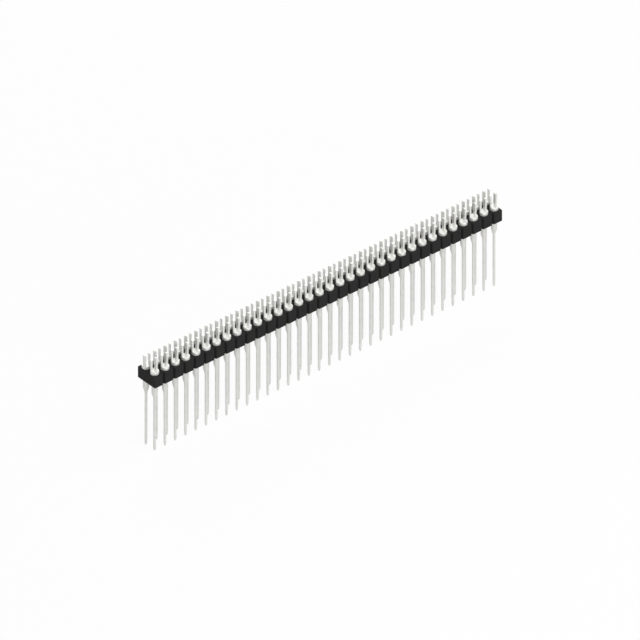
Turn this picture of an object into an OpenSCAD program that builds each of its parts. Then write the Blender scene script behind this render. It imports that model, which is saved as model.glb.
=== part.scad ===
// Two-row strip of turned wire wrap pins in one moulded insulator.
// Millimetres. The origin is the middle of the insulator's underside, which is
// the face that seats on the board. +X runs along the strip and +Z points up,
// out of the forked heads.

/* [Strip] */
// Contact positions along the strip, with two contacts at each
positions = 34; // [2:1:58]
// Distance from one position to the next
pitch = 2.54; // [2.2:0.01:5.08]
// Distance between the two rows
row_pitch = 2.54; // [2.2:0.01:7.62]

/* [Insulator] */
// Height of the moulding
body_h = 2.5; // [1.5:0.01:6]
// Plastic outside the axis of each row, up to the long face
side_margin = 1.27; // [1:0.01:3]
// Plastic past the axis of the last contacts, up to the end face
end_margin = 0.97; // [0.9:0.01:3]
// Depth of the break notches in the long faces
notch_depth = 0.45; // [0.1:0.01:0.6]
// Width of the break notches at the long faces
notch_w = 0.6; // [0.2:0.01:0.9]

/* [Contact above the insulator] */
// Diameter of the collar and of the forked head
collar_d = 1.7; // [1.5:0.01:2.1]
// Height of the collar on top of the insulator
collar_h = 0.66; // [0.1:0.01:1.5]
// Height of the two prongs above the collar
prong_h = 2.54; // [1:0.01:5]
// Width of the slot between the prongs
slot_w = 0.86; // [0.3:0.01:1.1]
// Distance behind the axis at which the open front of the head ends
front_cut = 0.04; // [-0.4:0.01:0.3]

/* [Contact in and below the insulator] */
// Diameter of the shoulder below the insulator
shoulder_d = 1.2; // [0.7:0.01:1.5]
// Extra radius of the press-fit shank, so that the shoulder passes its hole
press_step = 0.05; // [0.01:0.01:0.2]
// Length of the shoulder below the insulator
shoulder_len = 2.05; // [0:0.01:4]
// Length of the cone from the shoulder to the tail
cone_len = 1.2; // [0.2:0.01:3]
// Diameter of the tail
tail_d = 0.52; // [0.4:0.01:0.65]
// Length of the whole contact below the insulator
reach = 15.3; // [8:0.01:20]
// Diameter of the flat at the tip
tip_d = 0.3; // [0.1:0.01:0.38]
// Length of the taper at the tip
tip_len = 0.5; // [0.1:0.01:0.9]

/* [Hidden] */
// Facets of every round surface
$fn = 48;
// Play between shank and insulator: a press fit has none
bore_play = 0;
// Cutters pass the faces they cut by this much
past = 1;

row_y = row_pitch / 2;
body_l = (positions - 1) * pitch + 2 * end_margin;
body_w = row_pitch + 2 * side_margin;
shank_d = shoulder_d + 2 * press_step;
bore_d = shank_d + bore_play;
head_z = body_h + collar_h;

// contact_pair_01 is the first position, at the -X end
function contact_name(i) = str("contact_pair_", i < 10 ? "0" : "", i);

// X of one position, counted from 1
function position_x(i) = (i - (positions + 1) / 2) * pitch;

// One V notch, its point towards +Y, through the full height
module notch() {
    translate([0, 0, -past])
        linear_extrude(body_h + 2 * past)
            polygon([
                [-notch_w / 2, 0],
                [0, notch_depth],
                [notch_w / 2, 0],
                [notch_w / 2, -past],
                [-notch_w / 2, -past]
            ]);
}

module insulator() {
    color("#2b2b2d")
        difference() {
            translate([-body_l / 2, -body_w / 2, 0])
                cube([body_l, body_w, body_h]);
            for (i = [1:positions])
                for (side = [-1, 1])
                    translate([position_x(i), side * row_y, -past])
                        cylinder(d = bore_d, h = body_h + 2 * past);
            for (i = [1:positions - 1])
                for (turn = [0, 180])
                    rotate(turn)
                        translate([(i - positions / 2) * pitch, -body_w / 2, 0])
                            notch();
        }
}

// The turned blank: an outline from the axis outwards, revolved
module blank() {
    rotate_extrude()
        polygon([
            [0, -reach],
            [tip_d / 2, -reach],
            [tail_d / 2, -reach + tip_len],
            [tail_d / 2, -shoulder_len - cone_len],
            [shoulder_d / 2, -shoulder_len],
            [shoulder_d / 2, 0],
            [shank_d / 2, 0],
            [shank_d / 2, body_h],
            [collar_d / 2, body_h],
            [collar_d / 2, head_z],
            [0, head_z]
        ]);
}

// The two prongs, with the open front of the head towards -Y
module prongs() {
    translate([0, 0, head_z])
        difference() {
            cylinder(d = collar_d, h = prong_h);
            translate([-slot_w / 2, -collar_d, -past])
                cube([slot_w, 2 * collar_d, prong_h + 2 * past]);
            translate([-collar_d, front_cut - collar_d, -past])
                cube([2 * collar_d, collar_d, prong_h + 2 * past]);
        }
}

module contact() {
    color("#cfd0cc") {
        blank();
        prongs();
    }
}

// The front contact opens to the front, and the back one is the same, turned round
module contact_pair(i) {
    translate([position_x(i), 0, 0])
        for (turn = [0, 180])
            rotate(turn)
                translate([0, -row_y, 0])
                    contact();
}

insulator();
for (i = [1:positions])
    contact_pair(i);
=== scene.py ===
# %% [markdown]
# # A strip of wire wrap pins
# The real part is one black moulding with 68 turned metal contacts pressed
# through it, in two rows of 34. The CAD model already has every size right, so
# this lesson builds finer pieces in exactly the same places: softened edges,
# grained plastic and satin tin plate. The model is loaded first, because
# everything after this cell takes its place from it.

# %% Load the CAD model
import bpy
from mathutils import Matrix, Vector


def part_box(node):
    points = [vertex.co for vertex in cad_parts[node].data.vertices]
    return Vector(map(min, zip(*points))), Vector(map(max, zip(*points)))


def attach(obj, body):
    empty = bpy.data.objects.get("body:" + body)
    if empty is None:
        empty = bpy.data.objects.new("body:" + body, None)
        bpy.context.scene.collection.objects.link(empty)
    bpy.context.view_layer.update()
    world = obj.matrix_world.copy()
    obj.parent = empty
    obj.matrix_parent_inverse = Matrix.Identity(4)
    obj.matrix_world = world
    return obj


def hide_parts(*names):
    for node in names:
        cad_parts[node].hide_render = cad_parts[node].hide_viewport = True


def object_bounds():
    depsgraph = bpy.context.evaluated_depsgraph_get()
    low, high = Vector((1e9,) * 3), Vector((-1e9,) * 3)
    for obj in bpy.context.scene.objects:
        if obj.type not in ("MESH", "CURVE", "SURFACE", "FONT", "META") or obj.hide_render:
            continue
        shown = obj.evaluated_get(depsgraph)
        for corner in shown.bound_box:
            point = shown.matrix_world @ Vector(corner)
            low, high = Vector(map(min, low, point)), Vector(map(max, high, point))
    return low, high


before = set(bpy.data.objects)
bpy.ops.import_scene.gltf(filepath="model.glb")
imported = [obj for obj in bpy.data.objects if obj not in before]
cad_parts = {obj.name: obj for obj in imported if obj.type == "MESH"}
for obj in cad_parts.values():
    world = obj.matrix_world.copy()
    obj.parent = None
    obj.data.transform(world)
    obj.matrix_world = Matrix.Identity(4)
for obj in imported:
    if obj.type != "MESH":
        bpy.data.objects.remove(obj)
cad_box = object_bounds()
print("CAD box", [[round(c * 1000, 2) for c in corner] for corner in cad_box])

# %% [markdown]
# ## Working in millimetres
# Blender counts in metres, and a contact is only 1.7 mm wide, so its bevels
# would be a few hundred-thousandths of a unit. The mesh tools have fixed
# tolerances that are coarse at that size. Each piece is therefore modelled in
# millimetres, and its points are scaled down once, as it becomes a mesh. The
# object itself stays unscaled at the origin. The camera, the floor and the lamps
# aren't pieces and are placed in metres, and the scale of a noise says how many
# of its patches fit in one metre.
#
# The finisher also decides how light runs over the edges. An edge that turns by
# less than 50 degrees is shaded as part of one smooth surface, and a sharper one
# keeps its crease, so that a collar looks round and the slot in it looks cut.
# The Weighted Normal modifier then keeps wide faces flat beside their narrow
# roundings.

# %% Units and a finisher for every piece
from math import cos, pi, radians, sin

import bmesh
import bpy
from mathutils import Matrix, Vector

MM = 0.001
SEAM = 1e-4
CREASE = radians(50)


def make_piece(name, bm, slot, nodes):
    """Turn a mesh in millimetres into a finished piece that rides on the root body."""
    mesh = bpy.data.meshes.new(name)
    for edge in bm.edges:
        edge.smooth = edge.calc_face_angle(pi) < CREASE
    bmesh.ops.scale(bm, vec=(MM, MM, MM), verts=bm.verts)
    bm.to_mesh(mesh)
    bm.free()
    mesh.polygons.foreach_set("use_smooth", [True] * len(mesh.polygons))
    mesh.materials.append(materials[slot])
    piece = bpy.data.objects.new(name, mesh)
    bpy.context.scene.collection.objects.link(piece)
    flats = piece.modifiers.new("Flat faces", "WEIGHTED_NORMAL")
    flats.keep_sharp = True
    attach(piece, "root")
    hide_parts(*nodes)


# %% [markdown]
# ## A short way to wire nodes
# A material is a graph of nodes. The helper makes one node, sets its inputs
# and links the ones that are given another node's output, so that each finish
# below reads as a list of layers.

# %% Node helper
def add_node(tree, kind, inputs, **settings):
    """Add one shader node; an input may be a value or another node's output."""
    node = tree.nodes.new(kind)
    for name, value in settings.items():
        setattr(node, name, value)
    for name, value in inputs.items():
        if isinstance(value, bpy.types.NodeSocket):
            tree.links.new(value, node.inputs[name])
        else:
            node.inputs[name].default_value = value
    return node


def add_ramp(tree, factor, *stops):
    """Add a color ramp whose stops are (position, grey or color)."""
    ramp = add_node(tree, "ShaderNodeValToRGB", {"Fac": factor})
    elements = ramp.color_ramp.elements
    while len(elements) < len(stops):
        elements.new(0.5)
    for element, (position, color) in zip(elements, stops):
        element.position = position
        element.color = (*color, 1) if isinstance(color, tuple) else (color,) * 3 + (1,)
    return ramp.outputs["Color"]


def new_material(name):
    """Make a node material; return it, its tree, its shader and its coordinates."""
    material = bpy.data.materials.new(name)
    material.use_nodes = True
    tree = material.node_tree
    tree.nodes.clear()
    shader = add_node(tree, "ShaderNodeBsdfPrincipled", {})
    add_node(tree, "ShaderNodeOutputMaterial", {"Surface": shader.outputs["BSDF"]})
    place = add_node(tree, "ShaderNodeTexCoord", {}).outputs["Object"]
    return material, tree, shader, place


materials = {}

# %% [markdown]
# ## Black moulded plastic
# The insulator is a glass-filled thermoplastic. It is near black, satin rather
# than glossy, with a fine grain from the mould, faint flow streaks along the
# strip and edges that have rubbed a little paler. A painted image could show all
# that, but noise on Object coordinates needs no unwrapping and has the same scale
# everywhere. The streaks are noise that is stretched along X, and the pale edges
# come from Pointiness, which knows how sharp the mesh is at each point.

# %% Black plastic
PLASTIC = (0.0172, 0.0172, 0.0171)
PLASTIC_STREAK = (0.0222, 0.0222, 0.0218)
PLASTIC_EDGE = (0.035, 0.035, 0.0345)
PLASTIC_SHINE = 0.05
PLASTIC_TONES = ((0.35, PLASTIC), (0.7, PLASTIC_STREAK))
PLASTIC_ROUGHNESS = ((0.3, 0.42), (0.7, 0.58))
RUBBED_FROM, RUBBED_FULL = 0.53, 0.62
STREAK_STRETCH = (0.12, 1, 1)
STREAK_SCALE, STREAK_DETAIL = 1500, 4
GRAIN_SCALE, GRAIN_DETAIL = 9000, 3
GRAIN_STRENGTH = 0.35
GRAIN_HEIGHT = 0.00003


def make_black_plastic():
    """Satin black thermoplastic with flow streaks, mould grain and rubbed edges."""
    material, tree, shader, place = new_material("black_plastic")
    shader.inputs["Specular IOR Level"].default_value = PLASTIC_SHINE
    along = add_node(tree, "ShaderNodeMapping", {"Vector": place, "Scale": STREAK_STRETCH})
    streak = add_node(tree, "ShaderNodeTexNoise",
                      {"Vector": along.outputs["Vector"], "Scale": STREAK_SCALE,
                       "Detail": STREAK_DETAIL})
    base = add_ramp(tree, streak.outputs["Fac"], *PLASTIC_TONES)
    sharp = add_node(tree, "ShaderNodeNewGeometry", {}).outputs["Pointiness"]
    rubbed = add_ramp(tree, sharp, (RUBBED_FROM, 0), (RUBBED_FULL, 1))
    color = add_node(tree, "ShaderNodeMix",
                     {"Factor": rubbed, "A": base, "B": (*PLASTIC_EDGE, 1)},
                     data_type="RGBA")
    tree.links.new(color.outputs["Result"], shader.inputs["Base Color"])
    grain = add_node(tree, "ShaderNodeTexNoise",
                     {"Vector": place, "Scale": GRAIN_SCALE, "Detail": GRAIN_DETAIL})
    rough = add_ramp(tree, grain.outputs["Fac"], *PLASTIC_ROUGHNESS)
    tree.links.new(rough, shader.inputs["Roughness"])
    bump = add_node(tree, "ShaderNodeBump",
                    {"Height": grain.outputs["Fac"], "Strength": GRAIN_STRENGTH,
                     "Distance": GRAIN_HEIGHT})
    tree.links.new(bump.outputs["Normal"], shader.inputs["Normal"])
    return material


materials["insulator"] = make_black_plastic()
print("made", materials["insulator"].name)

# %% [markdown]
# ## Satin tin plate
# The contacts are turned from brass and tin plated: a warm silver with a soft
# shine. Tin this dull is neither a mirror nor a paint, so the surface is half
# metal and half pale coat, and satin all over. A broad noise makes some patches
# a little darker and duller, as plating does. Turning leaves fine rings round
# the part, and a one-dimensional noise on Z makes them, because every contact
# stands upright.

# %% Tin plate
TIN = (0.785, 0.785, 0.757)
TIN_SHADE = (0.735, 0.735, 0.709)
TIN_METALLIC = 0.5
TIN_SHINE = 0.4
TIN_TONES = ((0.3, TIN_SHADE), (0.6, TIN))
TIN_ROUGHNESS = ((0.3, 0.44), (0.7, 0.34))
PATCH_SCALE, PATCH_DETAIL = 900, 3
RING_SCALE, RING_DETAIL = 14000, 2
RING_STRENGTH = 0.5
RING_HEIGHT = 0.000004


def make_tin_plate():
    """Satin tin plate over turned brass, with rings from the tool."""
    material, tree, shader, place = new_material("tin_plate")
    shader.inputs["Metallic"].default_value = TIN_METALLIC
    shader.inputs["Specular IOR Level"].default_value = TIN_SHINE
    patch = add_node(tree, "ShaderNodeTexNoise",
                     {"Vector": place, "Scale": PATCH_SCALE, "Detail": PATCH_DETAIL})
    color = add_ramp(tree, patch.outputs["Fac"], *TIN_TONES)
    tree.links.new(color, shader.inputs["Base Color"])
    rough = add_ramp(tree, patch.outputs["Fac"], *TIN_ROUGHNESS)
    tree.links.new(rough, shader.inputs["Roughness"])
    height = add_node(tree, "ShaderNodeSeparateXYZ", {"Vector": place}).outputs["Z"]
    rings = add_node(tree, "ShaderNodeTexNoise",
                     {"W": height, "Scale": RING_SCALE, "Detail": RING_DETAIL},
                     noise_dimensions="1D")
    bump = add_node(tree, "ShaderNodeBump",
                    {"Height": rings.outputs["Fac"], "Strength": RING_STRENGTH,
                     "Distance": RING_HEIGHT})
    tree.links.new(bump.outputs["Normal"], shader.inputs["Normal"])
    return material


materials["contact"] = make_tin_plate()
print("made", materials["contact"].name)

# %% [markdown]
# ## The camera
# The strip is seen as catalogues draw parts, without perspective: an
# orthographic camera looks down across it. It is placed by two angles round a
# point a tenth of a millimetre below the middle of the object's box, which is
# easier to reason about than three rotations. An orthographic picture doesn't
# depend on the camera's distance, only on the width that it takes in.

# %% Camera
VIEW_AZIMUTH = radians(-40)
VIEW_ELEVATION = radians(35.26)
VIEW_WIDTH = 0.1211
VIEW_DISTANCE = 1
NEAREST_SEEN = 0.01
AIM_DROP = 0.000105

low, high = (Vector(corner) for corner in cad_box)
aim = (low + high) / 2 - Vector((0, 0, AIM_DROP))
towards_camera = Vector((sin(VIEW_AZIMUTH) * cos(VIEW_ELEVATION),
                         -cos(VIEW_AZIMUTH) * cos(VIEW_ELEVATION),
                         sin(VIEW_ELEVATION)))
camera = bpy.data.objects.new("camera", bpy.data.cameras.new("camera"))
camera.data.type = "ORTHO"
camera.data.ortho_scale = VIEW_WIDTH
camera.data.clip_start = NEAREST_SEEN
camera.location = aim + towards_camera * VIEW_DISTANCE
camera.rotation_euler = towards_camera.to_track_quat("Z", "Y").to_euler()
bpy.context.scene.collection.objects.link(camera)
bpy.context.scene.camera = camera
print("camera at", [round(c, 3) for c in camera.location])

# %% [markdown]
# ## The insulator's outline, one position at a time
# Seen from above, the moulding is a row of equal cells. Each has a round hole,
# and its two outer corners are cut off where a break notch reaches in from
# either side. Booleans could cut all of them out of one block, but shaping one
# small cell at a time keeps the faces clean, and every hole comes out alike.
#
# A cell starts as a grid of one face, one millimetre square, that is stretched to
# its place; the operator's size is half the side. Bevelling a corner point by
# half the notch's width cuts it off at 45 degrees, and the point that this leaves
# on the side edge is then moved in to the notch's depth, which makes half of the
# V. The face is taken out, and what is left of it, its outline, is bridged to the
# rim of the hole.

# %% One cell of the insulator
body_low, body_high = (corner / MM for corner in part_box("insulator"))
POSITIONS = 34
PITCH = 2.54
ROW_Y = 1.27
HOLE_R = 0.65
HOLE_SEGMENTS = 24
NOTCH_HALF_W = 0.3
NOTCH_DEPTH = 0.45
HALF_SIDE = 0.5


def position_x(i):
    """X of one position in millimetres, counted from 0 at the -X end."""
    return (i - (POSITIONS - 1) / 2) * PITCH


def each_once(elements):
    """List the elements once each, in the order in which they are met."""
    return list(dict.fromkeys(elements))


def make_cell(i):
    """Make the front half of one position: a flat outline with a round hole."""
    x, first, last = position_x(i), i == 0, i == POSITIONS - 1
    left = body_low.x if first else x - PITCH / 2
    right = body_high.x if last else x + PITCH / 2
    cell = bmesh.new()
    middle = Matrix.Translation(((left + right) / 2, body_low.y / 2, 0))
    stretch = Matrix.Diagonal((right - left, -body_low.y, 1, 1))
    bmesh.ops.create_grid(cell, x_segments=1, y_segments=1, size=HALF_SIDE,
                          matrix=middle @ stretch)
    corners = [v for v in cell.verts if v.co.y < middle.translation.y
               and not (first and v.co.x < x) and not (last and v.co.x > x)]
    bmesh.ops.bevel(cell, geom=corners, offset=NOTCH_HALF_W, offset_type="OFFSET",
                    segments=1, profile=0.5, affect="VERTICES", material=-1)
    for point in cell.verts:
        if abs(point.co.y - body_low.y - NOTCH_HALF_W) < SEAM:
            point.co.y = body_low.y + NOTCH_DEPTH
    outline = cell.edges[:]
    bmesh.ops.delete(cell, geom=cell.faces[:], context="FACES_ONLY")
    rim = bmesh.ops.create_circle(cell, segments=HOLE_SEGMENTS, radius=HOLE_R,
                                  matrix=Matrix.Translation((x, -ROW_Y, 0)))
    rim_edges = each_once(e for v in rim["verts"] for e in v.link_edges)
    bmesh.ops.bridge_loops(cell, edges=outline + rim_edges)
    return cell


# %% [markdown]
# ## From one cell to the whole moulding
# The cells are laid side by side and their shared points merged, so that no
# wall is left between them. Mirroring across Y adds the back row, and one
# extrusion turns the flat sheet into a solid with all 68 holes open.

# %% Lay out, mirror and extrude
def make_moulding():
    """Make the whole strip as one closed shell, in millimetres."""
    bm = bmesh.new()
    for i in range(POSITIONS):
        cell = make_cell(i)
        sheet = bpy.data.meshes.new("cell")
        cell.to_mesh(sheet)
        bm.from_mesh(sheet)
        cell.free()
        bpy.data.meshes.remove(sheet)
    bmesh.ops.mirror(bm, geom=bm.verts[:] + bm.edges[:] + bm.faces[:], axis="Y",
                     merge_dist=SEAM)
    bmesh.ops.remove_doubles(bm, verts=bm.verts, dist=SEAM)
    bmesh.ops.recalc_face_normals(bm, faces=bm.faces)
    raised = bmesh.ops.extrude_face_region(bm, geom=bm.faces[:])["geom"]
    bmesh.ops.translate(bm, verts=[v for v in raised if isinstance(v, bmesh.types.BMVert)],
                        vec=(0, 0, body_high.z))
    bmesh.ops.recalc_face_normals(bm, faces=bm.faces)
    return bm


moulding = make_moulding()
print("moulding volume", round(moulding.calc_volume(), 1), "mm3, open edges",
      sum(e.is_boundary for e in moulding.edges))

# %% [markdown]
# ## Soft edges on the moulding
# No moulded edge is perfectly sharp, and a rounded one catches a thin line of
# light that tells the eye what it is made of. Every outside edge gets a radius
# of 0.05 mm. The points of the V notches are inside corners, and are left sharp,
# as the mould leaves them. A Bevel modifier that goes by angle would round them
# too, so the outside edges are picked out first and bevelled in the mesh.

# %% Round the moulding's edges
EDGE_R = 0.05
ROUNDING_STEPS = 2
SHARP = radians(30)


def sharp_edges(bm):
    """The outside edges where the surface turns by more than 30 degrees."""
    return [e for e in bm.edges
            if e.is_manifold and e.is_convex and e.calc_face_angle() > SHARP]


def soften(bm, edges, radius):
    """Round these edges."""
    bmesh.ops.bevel(bm, geom=edges, offset=radius, offset_type="OFFSET",
                    segments=ROUNDING_STEPS, profile=0.5, affect="EDGES", material=-1)


soften(moulding, sharp_edges(moulding), EDGE_R)
print("moulding has", len(moulding.faces), "faces, open edges",
      sum(not e.is_manifold for e in moulding.edges))
make_piece("insulator_moulding", moulding, "insulator", ["insulator"])

# %% [markdown]
# ## Turning a contact
# The real contact is cut on a lathe, and Spin is Blender's lathe: it carries an
# outline round an axis. A Screw modifier could do that as well, but the head is
# worked next and needs real faces. The outline runs up from the wire wrap tail's
# tip, through the cone, the shoulder and the press-fit shank, to the collar. With
# 36 steps, the cuts that the head gets fall well inside a facet, so that their
# edges have room to be rounded.

# %% Spin the blank
contact_low, contact_high = (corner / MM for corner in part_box("contact_pair_01"))
PRONG_H = 2.54
HEAD_Z = contact_high.z - PRONG_H
COLLAR_R = 0.85
SHANK_R = HOLE_R
SHOULDER_R, SHOULDER_Z = 0.6, -2.05
TAIL_R, TAIL_Z = 0.26, -3.25
TIP_R, TIP_LEN = 0.15, 0.5
TURN_STEPS = 36
BLANK = [(0, contact_low.z), (TIP_R, contact_low.z), (TAIL_R, contact_low.z + TIP_LEN),
         (TAIL_R, TAIL_Z), (SHOULDER_R, SHOULDER_Z), (SHOULDER_R, 0),
         (SHANK_R, 0), (SHANK_R, body_high.z), (COLLAR_R, body_high.z), (COLLAR_R, HEAD_Z)]


def spin_blank():
    """Spin the outline into a blank that is closed by one flat face on top."""
    bm = bmesh.new()
    points = [bm.verts.new((r, 0, z)) for r, z in BLANK]
    lines = [bm.edges.new(pair) for pair in zip(points, points[1:])]
    bmesh.ops.spin(bm, geom=points + lines, cent=(0, 0, 0), axis=(0, 0, 1),
                   angle=2 * pi, steps=TURN_STEPS, use_merge=True)
    bmesh.ops.remove_doubles(bm, verts=bm.verts, dist=SEAM)
    bmesh.ops.edgeloop_fill(bm, edges=[e for e in bm.edges if e.is_boundary])
    bmesh.ops.recalc_face_normals(bm, faces=bm.faces)
    return bm


# %% [markdown]
# ## The forked head
# A slot is milled across the head, and its front is cut away, which leaves two
# prongs. Instead of cutting them out of a taller blank, the two sides of the slot
# and the front cut are scored into the flat top, and only the two faces of the
# prongs are pulled up. The result is the same shape, in one closed shell, with
# clean faces.

# %% Raise the prongs
SLOT_W = 0.86
FRONT_CUT = 0.04
ON_THE_CUT = 1e-6
CUTS = [((SLOT_W / 2, 0, 0), (1, 0, 0)), ((-SLOT_W / 2, 0, 0), (1, 0, 0)),
        ((0, FRONT_CUT, 0), (0, 1, 0))]


def top_faces(bm):
    """The faces that lie level with the top of the collar."""
    return [f for f in bm.faces if min(v.co.z for v in f.verts) > HEAD_Z - SEAM]


def raise_prongs(bm):
    """Score the slot and the front cut into the top, and pull the prongs up."""
    for point, normal in CUTS:
        flat = top_faces(bm)
        lines = each_once(e for f in flat for e in f.edges)
        points = each_once(v for f in flat for v in f.verts)
        bmesh.ops.bisect_plane(bm, geom=flat + lines + points, dist=ON_THE_CUT,
                               plane_co=point, plane_no=normal)
    prongs, rest = [], []
    for face in top_faces(bm):
        middle = face.calc_center_median()
        cut_away = abs(middle.x) < SLOT_W / 2 or middle.y < FRONT_CUT
        (rest if cut_away else prongs).append(face)
    bmesh.ops.dissolve_faces(bm, faces=rest)
    raised = bmesh.ops.extrude_face_region(bm, geom=prongs)["geom"]
    bmesh.ops.translate(bm, verts=[v for v in raised if isinstance(v, bmesh.types.BMVert)],
                        vec=(0, 0, PRONG_H))
    bmesh.ops.delete(bm, geom=prongs, context="FACES_ONLY")
    bmesh.ops.recalc_face_normals(bm, faces=bm.faces)


contact = spin_blank()
raise_prongs(contact)
print("contact volume", round(contact.calc_volume(), 2), "mm3, open edges",
      sum(not e.is_manifold for e in contact.edges))

# %% [markdown]
# ## Breaking the edges of the metal
# Turned and plated parts have their edges broken too. The head and the tip are
# the only places where they can be seen: the steps at the shank lie against the
# plastic.

# %% Round the contact's edges
HEAD_EDGE_R = 0.045

seen = [e for e in sharp_edges(contact)
        if min(v.co.z for v in e.verts) > HEAD_Z - SEAM
        or max(v.co.z for v in e.verts) < contact_low.z + SEAM]
soften(contact, seen, HEAD_EDGE_R)
print("contact has", len(contact.faces), "faces, open edges",
      sum(not e.is_manifold for e in contact.edges))

# %% [markdown]
# ## Standing the contacts in their rows
# Every contact is a copy of the one master. In the front row the forks open to
# the front, and in the back row the same contact is turned half round, so they
# open to the back. An Array modifier would be shorter, but it would weld all the
# contacts into one object, and on the bench each is a part of its own. Each copy
# gets its place in its own mesh.

# %% Place 68 contacts
ROWS = {"front": Matrix.Identity(4), "back": Matrix.Rotation(pi, 4, "Z")}

for i in range(POSITIONS):
    for row, turn in ROWS.items():
        bm = contact.copy()
        stand = Matrix.Translation((position_x(i), 0, 0)) @ turn
        bmesh.ops.transform(bm, matrix=stand @ Matrix.Translation((0, -ROW_Y, 0)),
                            verts=bm.verts)
        make_piece(f"{row}_contact_{i + 1:02d}", bm, "contact", [f"contact_pair_{i + 1:02d}"])
print("placed", POSITIONS * len(ROWS), "contacts")

# %% [markdown]
# ## The floor
# A pale floor and a white surround make the plain sheet that a catalogue shows.
# Light Path tells a material which kind of ray has reached it. To the camera and
# in reflections the floor is nearly all white light, and the small share that is
# ordinary paper still takes the strip's soft shadow. To light that bounces, the
# floor and the surround are grey, so that the sides turned away from the lamps
# stay darker.

# %% Floor and surround
FLOOR_SIZE = 4
PAPER = 0.9
PAPER_BOUNCE = 0.3
SHEET_SHARE = 0.93
SURROUND_BOUNCE = 0.42


def seen_directly(tree):
    """1 for rays from the camera and from shiny or clear surfaces, otherwise 0."""
    rays = add_node(tree, "ShaderNodeLightPath", {}).outputs
    mirrored = add_node(tree, "ShaderNodeMath",
                        {0: rays["Is Camera Ray"], 1: rays["Is Glossy Ray"]},
                        operation="MAXIMUM")
    return add_node(tree, "ShaderNodeMath",
                    {0: mirrored.outputs["Value"], 1: rays["Is Transmission Ray"]},
                    operation="MAXIMUM").outputs["Value"]


floor_material = bpy.data.materials.new("white_sheet")
floor_material.use_nodes = True
tree = floor_material.node_tree
tree.nodes.clear()
direct = seen_directly(tree)
paper = add_node(tree, "ShaderNodeBsdfDiffuse",
                 {"Color": add_ramp(tree, direct, (0, PAPER_BOUNCE), (1, PAPER))})
glow = add_node(tree, "ShaderNodeEmission", {"Color": (1, 1, 1, 1), "Strength": 1})
share = add_node(tree, "ShaderNodeMath", {0: direct, 1: SHEET_SHARE}, operation="MULTIPLY")
mixed = add_node(tree, "ShaderNodeMixShader",
                 {0: share.outputs["Value"], 1: paper.outputs["BSDF"],
                  2: glow.outputs["Emission"]})
add_node(tree, "ShaderNodeOutputMaterial", {"Surface": mixed.outputs["Shader"]})

sheet = bmesh.new()
bmesh.ops.create_grid(sheet, x_segments=1, y_segments=1, size=FLOOR_SIZE / 2,
                      matrix=Matrix.Translation((0, 0, low.z)))
floor_mesh = bpy.data.meshes.new("floor")
sheet.to_mesh(floor_mesh)
sheet.free()
floor_mesh.materials.append(floor_material)
floor = bpy.data.objects.new("floor", floor_mesh)
bpy.context.scene.collection.objects.link(floor)

world = bpy.data.worlds.new("surround")
bpy.context.scene.world = world
world.use_nodes = True
tree = world.node_tree
tree.nodes.clear()
surround = add_ramp(tree, seen_directly(tree), (0, SURROUND_BOUNCE), (1, 1))
background = add_node(tree, "ShaderNodeBackground", {"Color": surround, "Strength": 1})
add_node(tree, "ShaderNodeOutputWorld", {"Surface": background.outputs["Background"]})
print("floor at", round(low.z * 1000, 2), "mm")

# %% [markdown]
# ## The light
# Three large soft lamps stand round the strip. The key is above, a little in
# front and to the right, and lights the tops. The fill is low in front, and
# lights the tails, the collars and the long face more than the end face. The
# sheen is behind and above, about where the camera sees it mirrored in a flat
# top, and gives the black plastic its faint shine there.

# %% Lamps
LAMPS = {"key": ((0.14, -0.20, 0.47), 0.4, 1.35),
         "fill": ((-0.16, -0.51, 0.04), 0.3, 1.7),
         "sheen": ((0.20, 0.36, 0.29), 0.3, 0.55)}
for name, (place, size, power) in LAMPS.items():
    lamp = bpy.data.lights.new(name, "AREA")
    lamp.size, lamp.energy = size, power
    lamp_object = bpy.data.objects.new(name, lamp)
    lamp_object.location = place
    lamp_object.rotation_euler = Vector(place).to_track_quat("Z", "Y").to_euler()
    bpy.context.scene.collection.objects.link(lamp_object)

bpy.context.scene.view_settings.view_transform = "Standard"
